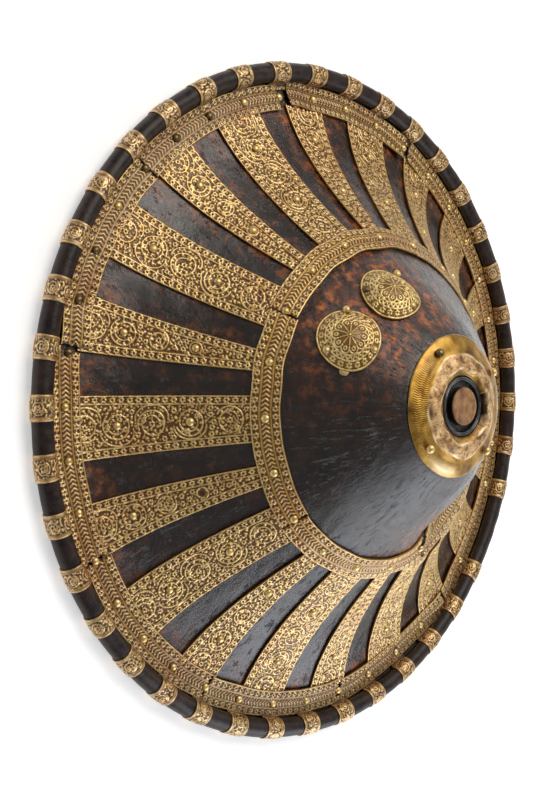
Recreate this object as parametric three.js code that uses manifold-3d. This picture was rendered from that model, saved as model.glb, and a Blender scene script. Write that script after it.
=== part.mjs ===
// A round hide shield with a rolled rim, dressed with thin embossed brass.
// Millimetres, +Z up along the shield's axis, origin on the floor under the apex: the shield
// lies on its rim with the boss up. Angles run around the axis from -Y towards +X.
import * as THREE from "three";
import { mergeVertices } from "three/addons/utils/BufferGeometryUtils.js";
import Module from "manifold-3d";

const wasm = await Module();
wasm.setup();

// Overall size and the rolled rim.
const OUTER_RADIUS = 260; // over the brass clips
const SECTORS = 60; // facets around the hide
const ROLL_RADIUS = 6.4; // leather roll along the edge
const ROLL_FACETS = 6;
const CLIP_BORE = 7.6; // inner radius of a clip's curl
const CLIP_WALL = 0.8;
const ROLL_R = OUTER_RADIUS - CLIP_BORE - CLIP_WALL; // centre of the roll, from the axis
const ROLL_Z = CLIP_BORE + CLIP_WALL; // centre of the roll, above the floor

// Outer surface of the hide: radius, height and steepness at its turning points.
const BRIM = { r: 244.4, z: 5.2, slope: 0.05 };
const WAIST = { r: 120.9, z: 79.6, slope: 1.0 };
const SHOULDER = { r: 50.2, z: 144.6, slope: 0.74 };
const TIP = { r: 31, z: 149.5 };
const HIDE_THICKNESS = 5;
const TIP_THICKNESS = 6;
const BRIM_UNDERSIDE_Z = 2;
const FLANK_STEPS = 6; // facets from brim to waist
const SHOULDER_STEPS = 2; // facets from waist to shoulder

// Brass sheet, laid on the hide in two layers.
const SHEET = 0.6;
const STRIP_LIFT = 0.4; // underside of the strips, above the hide
const BAND_LIFT = 1.4; // underside of the bands that cover the strip ends
const BAND_SHEET = 0.7;

// Radial strips, wide and narrow in turn.
const STRIP_COUNT = 20;
const STRIP_START = 6; // degrees
const STRIP_OUTER_R = 227.5;
const STRIP_INNER_R = 124.8;
const STRIP_FACETS = 2; // across a strip
const WIDE_STRIP = { outer: 44, inner: 31.5 };
const NARROW_STRIP = { outer: 39, inner: 14.4 };

// Band along the brim, in ten lengths, and the clips that grip the rim under it.
const OUTER_BAND = { outer: 243.1, inner: 222.8 };
const OUTER_BAND_FACETS = 6; // along a length
const BAND_JOINTS = [28.5, 64, 99.5, 135, 172, 209.5, 245, 281.2, 317.7, 352.7]; // degrees
const BAND_END_GAPS = [0.2, 0.2, 0.5, 0.4, 0.2, 0.2, 1.6, 2.4, 0.2, 0.2]; // degrees, at each joint
const CLIP_COUNT = 40;
const CLIP_START = 1.8; // degrees
const CLIP_DRIFT = 1.4; // degrees that the hand-set pitch wanders by
const CLIP_DRIFT_AT = 290; // degrees, where it has wandered furthest
const LOST_CLIP = 17; // one has fallen off
const CLIP_WIDTH = 17.7;
const CLIP_TONGUE_R = 240.4; // its inner end, tucked under the band
const CLIP_JOIN = 0.2; // how far the tongue's top enters the band's sheet
const CLIP_LIP_R = 243; // its lower end, under the brim
const CLIP_BORE_FACETS = 7;
const CLIP_OUTER_FACETS = 6;
const CLIP_REACH = 3; // degrees past a band's end within which a neighbour's clip needs room
const CLIP_CLEARANCE = 1; // of that room

// Inner band, in five lengths.
const INNER_BAND = { outer: 128.3, inner: 113.6 };
const INNER_BAND_COUNT = 5;
const INNER_BAND_START = 43; // degrees
const INNER_BAND_GAP = 0.3; // degrees
const INNER_BAND_FACETS = 10; // along a length

// Two domed roundels.
const ROUNDELS = [
  { name: "roundel_a", angle: 296, r: 85.3 },
  { name: "roundel_b", angle: 330.6, r: 87.4 },
];
const ROUNDEL_RADIUS = 22.5;
const ROUNDEL_HEIGHT = 8.5;
const ROUNDEL_LIP = { width: 2.5, underWidth: 3, thickness: 1.2 };
const ROUNDEL_SHEET = 1;
const ROUNDEL_SECTORS = 16;
const DOME_FACETS = 3; // from the lip to the crown

// Boss: a raised brass plate around a black collar and a wooden plug.
const BOSS_SHEET = 1;
const BOSS_LIFT = 0.4;
const BOSS_SECTORS = 36;
const BOSS_RIDGE = { footR: 33.5, footZ: 151.3, outerR: 29.5, outerZ: 155.5, crestR: 27, crestZ: 156 };
const BOSS_UNDER_RIDGE = { footR: 32, footZ: 149.9, crestZ: 154.7 };
const BOSS_HOLE_R = 21.6;
const BOSS_WELL_Z = 152.4; // where the plate dips to the collar
const COLLAR = { outer: 20.8, inner: 15.5, top: 152.6 };
const PLUG = { r: 13, top: 155.2, bevel: 1.2 };
const COLLAR_SECTORS = 24;
const SEAT_GAP = 0.4; // between pieces that sit on each other

// Hand strap inside the hollow.
const STRAP = { width: 28, thickness: 5, middleZ: 90, steps: 16 };
const STRAP_GAP = 1.8; // at its middle line, because the hide curves away from its edges
const STRAP_END_R = 60; // where it lies against the hide
const STRAP_BEND = { r: 72, room: 2.5 }; // it leaves the hide before it turns
const STRAP_TURN = { x: 61, rise: 15 }; // heights over its middle
const STRAP_SLOPE = { x: 42, rise: 4 };

const BRASS = new THREE.MeshStandardMaterial({
  color: "#b8924c", roughness: 0.35, metalness: 1, flatShading: true,
});
const HIDE = new THREE.MeshStandardMaterial({
  color: "#2a211d", roughness: 0.55, metalness: 0, flatShading: true,
});
const STRAP_LEATHER = new THREE.MeshStandardMaterial({
  color: "#4a3222", roughness: 0.7, metalness: 0, flatShading: true,
});
const BLACK_METAL = new THREE.MeshStandardMaterial({
  color: "#17130f", roughness: 0.5, metalness: 0.6, flatShading: true,
});
const WOOD = new THREE.MeshStandardMaterial({
  color: "#5e3a1c", roughness: 0.6, metalness: 0, flatShading: true,
});

const radians = THREE.MathUtils.degToRad;
const lerp = THREE.MathUtils.lerp;
const shield = new THREE.Group();

// --- The hide's surface ---

// Cubic from one turning point up to the next, matching both steepnesses.
function rise(low, high, r) {
  const span = low.r - high.r;
  const t = (low.r - r) / span;
  const climb = (high.z - low.z) * t * t * (3 - 2 * t);
  const bend = low.slope * t * (1 - t) ** 2 - high.slope * t * t * (1 - t);
  return low.z + climb + span * bend;
}

function hideHeight(r) {
  return r >= WAIST.r ? rise(BRIM, WAIST, r) : rise(WAIST, SHOULDER, r);
}

function hideTilt(r) {
  const step = 0.5;
  return Math.atan((hideHeight(r - step) - hideHeight(r + step)) / (2 * step));
}

// Radii of the facet edges, from the brim up to the shoulder.
function facetRadii() {
  const radii = [];
  for (let i = 0; i < FLANK_STEPS; i += 1) {
    radii.push(lerp(BRIM.r, WAIST.r, i / FLANK_STEPS));
  }
  for (let i = 0; i <= SHOULDER_STEPS; i += 1) {
    radii.push(lerp(WAIST.r, SHOULDER.r, i / SHOULDER_STEPS));
  }
  return radii;
}

const FACET_RADII = facetRadii();

// A facet edge moved along the curve's normal: x is the distance from the axis, y the height.
function edgePoint(r, lift) {
  const tilt = hideTilt(r);
  return new THREE.Vector2(r + lift * Math.sin(tilt), hideHeight(r) + lift * Math.cos(tilt));
}

// A point of the faceted section at this radius, lifted off the hide.
function sectionPoint(r, lift) {
  const last = FACET_RADII.length - 2;
  const below = FACET_RADII.findIndex((radius, i) => i === last || FACET_RADII[i + 1] <= r);
  const low = FACET_RADII[below];
  const high = FACET_RADII[below + 1];
  return edgePoint(low, lift).lerp(edgePoint(high, lift), (low - r) / (low - high));
}

function surfacePoint(angle, r, lift) {
  const point = sectionPoint(r, lift);
  return new THREE.Vector3(point.x * Math.sin(angle), -point.x * Math.cos(angle), point.y);
}

// --- Geometry helpers ---

function closed(geometry) {
  geometry.deleteAttribute("normal");
  geometry.deleteAttribute("uv");
  return mergeVertices(geometry, 1e-4);
}

function addPiece(name, geometry, material, degrees = 0) {
  const mesh = new THREE.Mesh(geometry, material);
  mesh.name = name;
  mesh.rotation.z = radians(degrees);
  shield.add(mesh);
}

function twoDigits(number) {
  return String(number).padStart(2, "0");
}

// A body of revolution: the outline runs anticlockwise, with x as the radius and y as the height.
function turned(outline, sectors) {
  const geometry = new THREE.LatheGeometry(outline, sectors);
  geometry.rotateX(Math.PI / 2);
  return closed(geometry);
}

// A thin plate bent onto the hide between two radii, with its edges on the hide's facet edges.
// angleAt(u, r) is the angle of the point that is u across the plate, from 0 to 1.
function bentPlate(across, outer, inner, lift, thickness, angleAt) {
  const sliver = 2;
  const between = FACET_RADII.filter((r) => r < outer - sliver && r > inner + sliver);
  const radii = [outer, ...between, inner];
  const rows = radii.length - 1;
  const geometry = new THREE.BoxGeometry(1, 1, 1, across, rows, 1);
  const position = geometry.attributes.position;
  for (let i = 0; i < position.count; i += 1) {
    const r = radii[Math.round((position.getY(i) + 0.5) * rows)];
    const angle = angleAt(position.getX(i) + 0.5, r);
    const point = surfacePoint(angle, r, lift + (position.getZ(i) + 0.5) * thickness);
    position.setXYZ(i, point.x, point.y, point.z);
  }
  return closed(geometry);
}

function toSolid(geometry) {
  return new wasm.Manifold(new wasm.Mesh({
    numProp: 3,
    vertProperties: new Float32Array(geometry.attributes.position.array),
    triVerts: new Uint32Array(geometry.index.array),
  }));
}

function toGeometry(solid) {
  const mesh = solid.getMesh();
  const geometry = new THREE.BufferGeometry();
  geometry.setAttribute("position", new THREE.BufferAttribute(mesh.vertProperties, 3));
  geometry.setIndex(new THREE.BufferAttribute(mesh.triVerts, 1));
  return geometry;
}

// --- Hide ---

// The roll starts and ends where it meets the brim's two faces.
function rollArc(lowZ, highZ) {
  const from = -Math.PI + Math.asin((ROLL_Z - lowZ) / ROLL_RADIUS);
  const to = Math.PI - Math.asin((highZ - ROLL_Z) / ROLL_RADIUS);
  const points = [];
  for (let i = 0; i <= ROLL_FACETS; i += 1) {
    const turn = lerp(from, to, i / ROLL_FACETS);
    points.push(new THREE.Vector2(
      ROLL_R + ROLL_RADIUS * Math.cos(turn),
      ROLL_Z + ROLL_RADIUS * Math.sin(turn),
    ));
  }
  return points;
}

function hideGeometry() {
  const outside = FACET_RADII.map((r) => edgePoint(r, 0));
  const insideRadii = FACET_RADII.filter((r, i) => i % 2 === 0 || r < WAIST.r).reverse();
  const inside = insideRadii.map((r) => edgePoint(r, -HIDE_THICKNESS));
  inside[inside.length - 1].set(BRIM.r, BRIM_UNDERSIDE_Z);
  const outline = [
    new THREE.Vector2(0, TIP.z - TIP_THICKNESS),
    new THREE.Vector2(TIP.r, TIP.z - TIP_THICKNESS),
    ...inside,
    ...rollArc(BRIM_UNDERSIDE_Z, BRIM.z),
    ...outside,
    new THREE.Vector2(TIP.r, TIP.z),
    new THREE.Vector2(0, TIP.z),
  ];
  return turned(outline, SECTORS);
}

addPiece("hide_body", hideGeometry(), HIDE);

// --- Radial strips ---

function stripGeometry(width) {
  return bentPlate(STRIP_FACETS, STRIP_OUTER_R, STRIP_INNER_R, STRIP_LIFT, SHEET, (u, r) => {
    const inwards = (STRIP_OUTER_R - r) / (STRIP_OUTER_R - STRIP_INNER_R);
    return (u - 0.5) * lerp(width.outer, width.inner, inwards) / r;
  });
}

const stripPatterns = [stripGeometry(WIDE_STRIP), stripGeometry(NARROW_STRIP)];
for (let i = 0; i < STRIP_COUNT; i += 1) {
  const degrees = STRIP_START + (i * 360) / STRIP_COUNT;
  addPiece(`radial_strip_${twoDigits(i + 1)}`, stripPatterns[i % 2], BRASS, degrees);
}

// --- Outer band with its clips ---

// A clip's section: a tongue under the band, a curl around the roll and a lip under the brim.
// grow widens it on every side, for the room that it needs in a neighbour.
function clipShape(grow) {
  const tongueTop = hideHeight(CLIP_TONGUE_R) + BAND_LIFT + CLIP_JOIN + grow;
  const tongueUnder = hideHeight(CLIP_TONGUE_R) + STRIP_LIFT - grow;
  const outerR = CLIP_BORE + CLIP_WALL + grow;
  const boreR = CLIP_BORE - grow;
  const outerFrom = Math.PI + Math.asin((ROLL_Z - tongueTop) / outerR);
  const boreFrom = Math.PI + Math.asin((ROLL_Z - tongueUnder) / boreR);
  const shape = new THREE.Shape();
  shape.moveTo(CLIP_TONGUE_R - grow, tongueTop);
  shape.lineTo(CLIP_TONGUE_R - grow, tongueUnder);
  for (let i = 0; i <= CLIP_BORE_FACETS; i += 1) {
    const turn = lerp(boreFrom, -Math.PI / 2, i / CLIP_BORE_FACETS);
    shape.lineTo(ROLL_R + boreR * Math.cos(turn), ROLL_Z + boreR * Math.sin(turn));
  }
  shape.lineTo(CLIP_LIP_R - grow, CLIP_WALL + grow);
  shape.lineTo(CLIP_LIP_R - grow, -grow);
  for (let i = 0; i <= CLIP_OUTER_FACETS; i += 1) {
    const turn = lerp(-Math.PI / 2, outerFrom, i / CLIP_OUTER_FACETS);
    shape.lineTo(ROLL_R + outerR * Math.cos(turn), ROLL_Z + outerR * Math.sin(turn));
  }
  shape.closePath();
  return shape;
}

function clipSolid(degrees, grow = 0) {
  const depth = CLIP_WIDTH + 2 * grow;
  const geometry = new THREE.ExtrudeGeometry(clipShape(grow), { depth, bevelEnabled: false });
  geometry.translate(0, 0, -depth / 2);
  geometry.rotateX(Math.PI / 2);
  geometry.rotateZ(radians(degrees - 90));
  return toSolid(closed(geometry));
}

function clipAngles() {
  const angles = [];
  for (let i = 0; i < CLIP_COUNT; i += 1) {
    const even = (i * 360) / CLIP_COUNT;
    const drift = CLIP_DRIFT * Math.cos(radians(even - CLIP_DRIFT_AT));
    if (i !== LOST_CLIP) {
      angles.push(even + CLIP_START + drift);
    }
  }
  return angles;
}

function outerBandGeometry(from, to) {
  const { outer, inner } = OUTER_BAND;
  const angleAt = (u) => radians(lerp(from, to, u));
  const plate = bentPlate(OUTER_BAND_FACETS, outer, inner, BAND_LIFT, BAND_SHEET, angleAt);
  let solid = toSolid(plate);
  const nearby = clipAngles().flatMap((angle) => [angle, angle + 360]);
  for (const angle of nearby) {
    const own = angle >= from && angle < to;
    const besideEnd = angle > from - CLIP_REACH && angle < to + CLIP_REACH;
    if (!own && besideEnd) {
      solid = solid.subtract(clipSolid(angle, CLIP_CLEARANCE));
    }
  }
  for (const angle of nearby) {
    if (angle >= from && angle < to) {
      solid = solid.add(clipSolid(angle));
    }
  }
  return toGeometry(solid);
}

BAND_JOINTS.forEach((joint, i) => {
  const next = (i + 1) % BAND_JOINTS.length;
  const end = BAND_JOINTS[next] + (next === 0 ? 360 : 0);
  const from = joint + BAND_END_GAPS[i] / 2;
  const to = end - BAND_END_GAPS[next] / 2;
  addPiece(`outer_band_${twoDigits(i + 1)}`, outerBandGeometry(from, to), BRASS);
});

// --- Inner band ---

const innerSpan = 360 / INNER_BAND_COUNT;
const innerBandGeometry = bentPlate(
  INNER_BAND_FACETS, INNER_BAND.outer, INNER_BAND.inner, BAND_LIFT, BAND_SHEET,
  (u) => radians(lerp(INNER_BAND_GAP, innerSpan - INNER_BAND_GAP, u)),
);
for (let i = 0; i < INNER_BAND_COUNT; i += 1) {
  addPiece(`inner_band_${i + 1}`, innerBandGeometry, BRASS, INNER_BAND_START + i * innerSpan);
}

// --- Roundels ---

// A shallow dome of sheet brass with a flat lip, turned about its own axis.
function domeOutline() {
  const foot = ROUNDEL_RADIUS - ROUNDEL_LIP.width;
  const swell = ROUNDEL_HEIGHT - ROUNDEL_LIP.thickness;
  const outside = [];
  for (let i = 0; i <= DOME_FACETS; i += 1) {
    const t = 1 - i / DOME_FACETS;
    const height = ROUNDEL_LIP.thickness + swell * Math.cos((t * Math.PI) / 2);
    outside.push(new THREE.Vector2(foot * t, height));
  }
  const inside = outside.slice(1, -1).reverse();
  return [
    new THREE.Vector2(0, ROUNDEL_HEIGHT - ROUNDEL_SHEET),
    ...inside.map((point) => new THREE.Vector2(point.x, point.y - ROUNDEL_SHEET)),
    new THREE.Vector2(ROUNDEL_RADIUS - ROUNDEL_LIP.underWidth, 0),
    new THREE.Vector2(ROUNDEL_RADIUS, 0),
    new THREE.Vector2(ROUNDEL_RADIUS, ROUNDEL_LIP.thickness),
    ...outside,
  ];
}

// The dome is bent with the hide under it, so that its lip lies on the surface all round.
function roundelGeometry(r) {
  const geometry = turned(domeOutline(), ROUNDEL_SECTORS);
  const tilt = hideTilt(r);
  const position = geometry.attributes.position;
  for (let i = 0; i < position.count; i += 1) {
    const radius = r - position.getY(i) * Math.cos(tilt);
    const lift = STRIP_LIFT + position.getZ(i);
    const point = surfacePoint(position.getX(i) / radius, radius, lift);
    position.setXYZ(i, point.x, point.y, point.z);
  }
  return geometry;
}

for (const { name, angle, r } of ROUNDELS) {
  addPiece(name, roundelGeometry(r), BRASS, angle);
}

// --- Boss ---

function bossOutline() {
  const foot = sectionPoint(SHOULDER.r, BOSS_LIFT);
  return [
    foot,
    sectionPoint(SHOULDER.r, BOSS_LIFT + BOSS_SHEET),
    new THREE.Vector2(BOSS_RIDGE.footR, BOSS_RIDGE.footZ),
    new THREE.Vector2(BOSS_RIDGE.outerR, BOSS_RIDGE.outerZ),
    new THREE.Vector2(BOSS_RIDGE.crestR, BOSS_RIDGE.crestZ),
    new THREE.Vector2(BOSS_HOLE_R, BOSS_WELL_Z),
    new THREE.Vector2(BOSS_HOLE_R, BOSS_WELL_Z - BOSS_SHEET),
    new THREE.Vector2(BOSS_RIDGE.crestR, BOSS_UNDER_RIDGE.crestZ),
    new THREE.Vector2(BOSS_UNDER_RIDGE.footR, BOSS_UNDER_RIDGE.footZ),
    foot,
  ];
}

function ringOutline({ outer, inner, top }, bottom) {
  return [
    new THREE.Vector2(inner, bottom),
    new THREE.Vector2(outer, bottom),
    new THREE.Vector2(outer, top),
    new THREE.Vector2(inner, top),
    new THREE.Vector2(inner, bottom),
  ];
}

function plugOutline({ r, top, bevel }, bottom) {
  return [
    new THREE.Vector2(0, bottom),
    new THREE.Vector2(r, bottom),
    new THREE.Vector2(r, top - bevel),
    new THREE.Vector2(r - bevel, top),
    new THREE.Vector2(0, top),
  ];
}

addPiece("boss_plate", turned(bossOutline(), BOSS_SECTORS), BRASS);
addPiece("boss_collar", turned(ringOutline(COLLAR, TIP.z + SEAT_GAP), COLLAR_SECTORS), BLACK_METAL);
addPiece("boss_plug", turned(plugOutline(PLUG, TIP.z + SEAT_GAP), COLLAR_SECTORS), WOOD);

// --- Hand strap ---

// Its ends lie against the hide and its middle hangs clear, to leave room for the fingers.
function strapGeometry() {
  const depth = HIDE_THICKNESS + STRAP_GAP + STRAP.thickness / 2;
  const half = [
    surfacePoint(Math.PI / 2, STRAP_END_R, -depth),
    surfacePoint(Math.PI / 2, STRAP_BEND.r, -depth - STRAP_BEND.room),
    new THREE.Vector3(STRAP_TURN.x, 0, STRAP.middleZ + STRAP_TURN.rise),
    new THREE.Vector3(STRAP_SLOPE.x, 0, STRAP.middleZ + STRAP_SLOPE.rise),
  ];
  const mirrored = half.map((point) => new THREE.Vector3(-point.x, 0, point.z)).reverse();
  const path = new THREE.CatmullRomCurve3([
    ...half, new THREE.Vector3(0, 0, STRAP.middleZ), ...mirrored,
  ]);
  const section = new THREE.Shape([
    new THREE.Vector2(-STRAP.width / 2, -STRAP.thickness / 2),
    new THREE.Vector2(STRAP.width / 2, -STRAP.thickness / 2),
    new THREE.Vector2(STRAP.width / 2, STRAP.thickness / 2),
    new THREE.Vector2(-STRAP.width / 2, STRAP.thickness / 2),
  ]);
  return closed(new THREE.ExtrudeGeometry(section, { steps: STRAP.steps, extrudePath: path }));
}

addPiece("hand_strap", strapGeometry(), STRAP_LEATHER);

export default shield;
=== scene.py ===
"""A round hide shield dressed with embossed brass, lying on its rim with the boss up.

Lengths in the pattern code are in the model's millimetres (see MM) and become metres when a mesh is
made. Angles are in degrees and run around the axis from -Y towards +X, as in the CAD model. On a
sheet of brass, x runs around the shield and y runs inwards along the hide.
"""
import math

import bpy
import numpy as np
from mathutils import Matrix, Vector


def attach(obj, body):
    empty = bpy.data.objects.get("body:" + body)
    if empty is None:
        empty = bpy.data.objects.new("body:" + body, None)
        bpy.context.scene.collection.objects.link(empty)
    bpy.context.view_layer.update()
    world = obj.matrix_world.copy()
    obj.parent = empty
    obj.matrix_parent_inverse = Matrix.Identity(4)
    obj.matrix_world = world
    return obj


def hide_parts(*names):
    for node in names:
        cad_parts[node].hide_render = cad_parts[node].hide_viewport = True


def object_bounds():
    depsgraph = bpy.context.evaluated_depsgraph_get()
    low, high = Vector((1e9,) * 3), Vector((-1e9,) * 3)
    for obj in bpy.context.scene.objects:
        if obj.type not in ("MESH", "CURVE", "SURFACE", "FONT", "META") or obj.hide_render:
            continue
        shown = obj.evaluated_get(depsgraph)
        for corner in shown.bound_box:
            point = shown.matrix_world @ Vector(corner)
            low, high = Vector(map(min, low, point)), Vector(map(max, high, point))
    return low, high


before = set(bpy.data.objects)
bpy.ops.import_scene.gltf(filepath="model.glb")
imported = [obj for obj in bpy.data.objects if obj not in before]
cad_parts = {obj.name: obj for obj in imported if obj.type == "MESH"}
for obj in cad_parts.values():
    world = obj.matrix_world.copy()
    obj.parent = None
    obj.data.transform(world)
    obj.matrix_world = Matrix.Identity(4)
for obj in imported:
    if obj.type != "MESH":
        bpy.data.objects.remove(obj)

CAD_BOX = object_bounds()
RIM_R = 260.0  # mm over the clips
MM = (CAD_BOX[1].x - CAD_BOX[0].x) / 2 / RIM_R  # metres to one of the model's millimetres

# --- Driving dimensions ---

# Turning points of the hide's outer surface: radius, height and steepness.
BRIM = (244.4, 5.2, 0.05)
WAIST = (120.9, 79.6, 1.0)
SHOULDER = (50.2, 144.6, 0.74)
TIP_R = 31.0
TIP_Z = 149.5
HIDE_THICKNESS = 5.0

CLIP_R = 8.4  # outer radius of a clip's curl
ROLL_CENTRE = (RIM_R - CLIP_R, CLIP_R)  # radius and height
ROLL_R = 7.3  # leather roll
CLIP_WIDTH = 17.7
CLIP_COUNT = 40
CLIP_START = 1.8
CLIP_DRIFT = 1.4  # degrees that the clips drift from even spacing, most at the next angle
CLIP_DRIFT_AT = 290
LOST_CLIP = 17

STRIP_COUNT = 20
STRIP_START = 6
STRIP_R = (227.5, 124.8)
WIDE_STRIP = (44.0, 31.5)  # width at either end
NARROW_STRIP = (39.0, 14.4)
STRIP_TOP = 1.0  # ground of the embossing over the hide
STRIP_ANGLES = [STRIP_START + i * 360 / STRIP_COUNT for i in range(STRIP_COUNT)]

BAND_R = (243.1, 222.8)
BAND_TOP = 1.75  # ground of the embossing over the hide
BAND_UNDER = 0.7
BAND_JOINTS = (28.5, 64, 99.5, 135, 172, 209.5, 245, 281.2, 317.7, 352.7)
# At each joint: the gap, then the lift and the shift outwards of the length that ends there, and of
# the length that starts there.
BAND_ENDS = (
    (0.7, (0.5, 1.6), (0.9, -1.6)),
    (0.3, (0.1, 0.0), (0.3, 0.6)),
    (0.9, (0.7, -1.0), (0.3, 0.8)),
    (1.0, (2.4, 3.2), (0.8, 4.4)),
    (0.3, (0.1, 0.0), (0.3, 0.0)),
    (0.3, (0.1, 0.0), (0.3, 0.0)),
    (1.7, (0.9, 0.8), (1.4, -1.0)),
    (2.4, (1.2, 3.2), (0.3, 0.2)),
    (0.3, (0.1, 0.4), (0.3, -0.4)),
    (1.1, (1.0, -3.0), (0.3, 2.6)),
)

RING_R = (128.3, 113.6)
RING_JOINTS = (43, 115, 187, 259, 331)
RING_ENDS = (
    (0.5, (0.2, 0.0), (0.3, 0.4)),
    (1.2, (0.2, 0.0), (1.8, -1.0)),
    (0.4, (0.1, 0.0), (0.2, 0.0)),
    (0.4, (0.1, 0.0), (0.2, 0.0)),
    (0.5, (0.3, 0.5), (0.1, -0.4)),
)

ROUNDELS = (("roundel_a", 296, 85.3), ("roundel_b", 330.6, 87.4))
ROUNDEL_R = 22.5
ROUNDEL_H = 8.5

STRIP_NAIL_R = (199.7, 158.6)
BAND_NAIL_R = 233.2
RING_NAIL_R = 121.1
NAIL_R = 3.0
LOST_STRIP_NAIL = 1  # the inner nail of this strip has fallen out
LOST_BAND_NAIL = 15  # number of the clip beside it
LOST_RING_NAIL = 132  # its angle
DULL_NAILS = (292, 358)  # between these angles most of the outer band's nails have gone brown
RING_HOLE = (123.5, 117)  # an empty nail hole: angle and radius
BAND_HOLE = (153.8, 233.2)
HOLE_R = 1.5

FLOWER_PITCH = 5.9
RELIEF = 0.85  # height of the embossing

# mm between points of each kind of sheet.
STRIP_PITCH = 0.65
BAND_PITCH = 0.68
CLIP_PITCH = 0.88

# A dent in the hide above the waist with a swelling below it: angle, radii, half widths and depths.
DENT_ANGLE = 135
DENT_ANGLE_WIDTH = 21
DENT_R = 106
DENT_R_WIDTH = 15
DENT_DEPTH = 21
SWELL_R = 134
SWELL_R_WIDTH = 10
SWELL_HEIGHT = 3

# --- Numbers ---


def lerp(a, b, t):
    return a + (b - a) * t


def smooth(edge0, edge1, x):
    """0 below edge0, 1 above edge1, with a soft step between."""
    t = np.clip((x - edge0) / (edge1 - edge0), 0, 1)
    return t * t * (3 - 2 * t)


def around(angle, centre):
    """Degrees from the centre to the angle, the short way."""
    return (angle - centre + 180) % 360 - 180


def near(angle, centre, width):
    """1 at the centre, fading away within about the width in degrees."""
    return np.exp(-(around(angle, centre) / width) ** 2)


def waves(points, size, seed, count=14):
    """Smooth noise of about -1 to 1 over points (..., n), with features of about the given size."""
    random = np.random.default_rng(seed)
    total = np.zeros(points.shape[:-1])
    for _ in range(count):
        direction = random.normal(size=points.shape[-1])
        direction *= random.uniform(0.6, 1.5) / np.linalg.norm(direction)
        phase = random.uniform(0, 2 * math.pi)
        total += np.sin(points @ direction * (math.pi / size) + phase)
    return total / math.sqrt(count)


def polar(r, angle):
    """Points of a plane at this radius, and angle in radians."""
    return np.stack([r * np.cos(angle), r * np.sin(angle)], -1)


# --- The hide's surface ---


def rise(low, high, r):
    """Cubic from one turning point up to the next, matching both steepnesses."""
    span = low[0] - high[0]
    t = (low[0] - r) / span
    climb = (high[1] - low[1]) * t * t * (3 - 2 * t)
    bend = low[2] * t * (1 - t) ** 2 - high[2] * t * t * (1 - t)
    return low[1] + climb + span * bend


def hide_height(r):
    r = np.minimum(r, BRIM[0])
    return np.where(r >= WAIST[0], rise(BRIM, WAIST, r), rise(WAIST, SHOULDER, r))


def hide_tilt(r):
    r = np.minimum(r, BRIM[0] - 0.5)
    return np.arctan(hide_height(r - 0.5) - hide_height(r + 0.5))


def turned(angle, r, z):
    """Points at this angle, radius and height."""
    a = np.radians(angle)
    return np.stack(np.broadcast_arrays(r * np.sin(a), -r * np.cos(a), z), -1)


def dent(angle, r):
    """How far the hide is pushed in."""
    depth = DENT_DEPTH * np.exp(-((r - DENT_R) / DENT_R_WIDTH) ** 2)
    height = SWELL_HEIGHT * np.exp(-((r - SWELL_R) / SWELL_R_WIDTH) ** 2)
    return (depth - height) * near(angle, DENT_ANGLE, DENT_ANGLE_WIDTH)


def on_hide(angle, r, lift=0.0):
    """Points lifted off the hide along its normal."""
    tilt = hide_tilt(r)
    lift = lift - dent(angle, r)
    return turned(angle, r + lift * np.sin(tilt), hide_height(r) + lift * np.cos(tilt))


def slant_steps(outer, inner, pitch):
    """Radii from outer to inner, evenly spaced along the slope, and the distance of each."""
    fine = np.linspace(outer, inner, 400)
    steps = np.hypot(np.diff(fine), np.diff(hide_height(fine)))
    along = np.concatenate([[0], np.cumsum(steps)])
    t = np.linspace(0, along[-1], max(2, round(along[-1] / pitch) + 1))
    return np.interp(t, along, fine), t


# --- Meshes ---


def add_field(mesh, key, values):
    """Store a number for every point, for the materials."""
    attribute = mesh.attributes.new(key, "FLOAT", "POINT")
    attribute.data.foreach_set("value", np.asarray(values, np.float32))


def points_of(obj):
    """The piece's points in mm, and the radius and angle of each."""
    points = np.array([v.co for v in obj.data.vertices]) / MM
    angle = np.degrees(np.arctan2(points[:, 0], -points[:, 1]))
    return points, np.hypot(points[:, 0], points[:, 1]), angle


def use_second_material(obj, choose):
    """On the faces that choose(radius, height) picks."""
    for polygon in obj.data.polygons:
        place = polygon.center / MM
        polygon.material_index = int(choose(math.hypot(place.x, place.y), place.z))


def add_object(name, data):
    obj = bpy.data.objects.new(name, data)
    bpy.context.scene.collection.objects.link(obj)
    return obj


def make_piece(name, points, faces, materials, slot, replaces=(), fields=None, flat_from=None):
    """A mesh object from points in mm. faces is a list of index arrays, each (n, corners)."""
    points = np.asarray(points, float).reshape(-1, 3) * MM
    sizes = np.concatenate([np.full(len(f), f.shape[1]) for f in faces])
    corners = np.concatenate([f.reshape(-1) for f in faces])
    used, corners = np.unique(corners, return_inverse=True)
    mesh = bpy.data.meshes.new(name)
    mesh.vertices.add(len(used))
    mesh.vertices.foreach_set("co", points[used].reshape(-1).astype(np.float32))
    mesh.loops.add(len(corners))
    mesh.loops.foreach_set("vertex_index", corners.reshape(-1).astype(np.int32))
    mesh.polygons.add(len(sizes))
    starts = np.concatenate([[0], np.cumsum(sizes)[:-1]])
    mesh.polygons.foreach_set("loop_start", starts.astype(np.int32))
    is_smooth = np.ones(len(sizes), bool)
    if flat_from is not None:
        is_smooth[flat_from:] = False
    mesh.polygons.foreach_set("use_smooth", is_smooth)
    for key, values in (fields or {}).items():
        full = np.zeros(len(points), np.float32)
        values = np.asarray(values, np.float32).reshape(-1)
        full[:len(values)] = values
        add_field(mesh, key, full[used])
    mesh.update(calc_edges=True)
    mesh.validate()
    for material in materials if isinstance(materials, tuple) else (materials,):
        mesh.materials.append(material)
    obj = add_object(name, mesh)
    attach(obj, "root")
    if replaces:
        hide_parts(*replaces)
    return obj


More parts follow.
